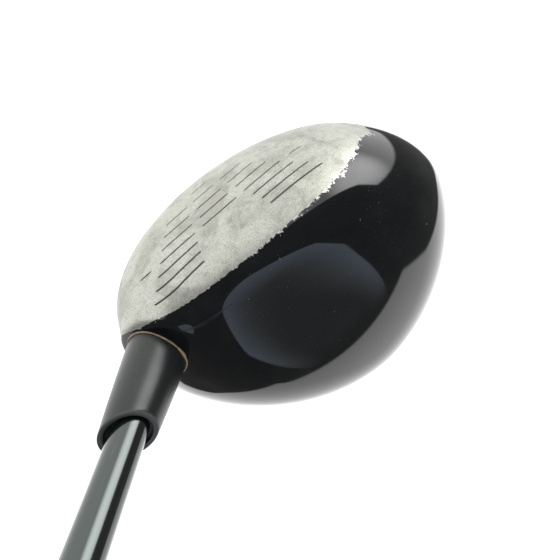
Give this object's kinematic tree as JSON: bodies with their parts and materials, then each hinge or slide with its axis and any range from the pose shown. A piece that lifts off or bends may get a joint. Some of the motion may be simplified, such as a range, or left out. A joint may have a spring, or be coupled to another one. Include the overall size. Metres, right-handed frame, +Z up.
{
  "type": "golf driver",
  "caption": "Right-handed golf driver: hollow metal head with a lofted, grooved face, long ferrule, tapered tubular shaft and rubber grip with a vented cap.",
  "frame": {"origin": "the point under the head where the sole rests on the ground", "axes": "+Z up from the ground, the face looks along -Y, the toe is at -X and the shaft leans towards +X at the lie angle"},
  "size_m": [0.6856, 0.0846, 0.9761],
  "materials": {
    "face_metal": "fine blasted titanium",
    "crown_paint": "gloss black",
    "sole_metal": "satin brushed titanium",
    "inner_metal": "as cast",
    "weight_metal": "plain",
    "ferrule_plastic": "worn satin black",
    "glue": "cured epoxy",
    "melt": "sticky hot-melt",
    "cork": "cork",
    "shaft_paint": "grey metallic",
    "tape": "paper tape",
    "grip_rubber": "moulded"
  },
  "bodies": {
    "root": {"face_plate": "face_metal", "crown_shell": "crown_paint", "skirt_band": "crown_paint", "sole_shell": "sole_metal", "sole_plate": "sole_metal", "sole_ribs": "inner_metal", "hosel_tube": "inner_metal", "hosel_plug": "inner_metal", "hosel_brace": "inner_metal", "heel_weight_pad": "inner_metal", "toe_weight_pad": "inner_metal", "rear_weight_pad": "inner_metal", "hot_melt_pad": "melt", "tip_epoxy": "glue", "tip_weight": "weight_metal", "tip_cork": "cork", "ferrule_glue_ring": "glue", "ferrule": "ferrule_plastic", "shaft": "shaft_paint", "grip_tape": "tape", "grip_sleeve": "grip_rubber", "grip_cap": "grip_rubber"}
  },
  "joints": []
}
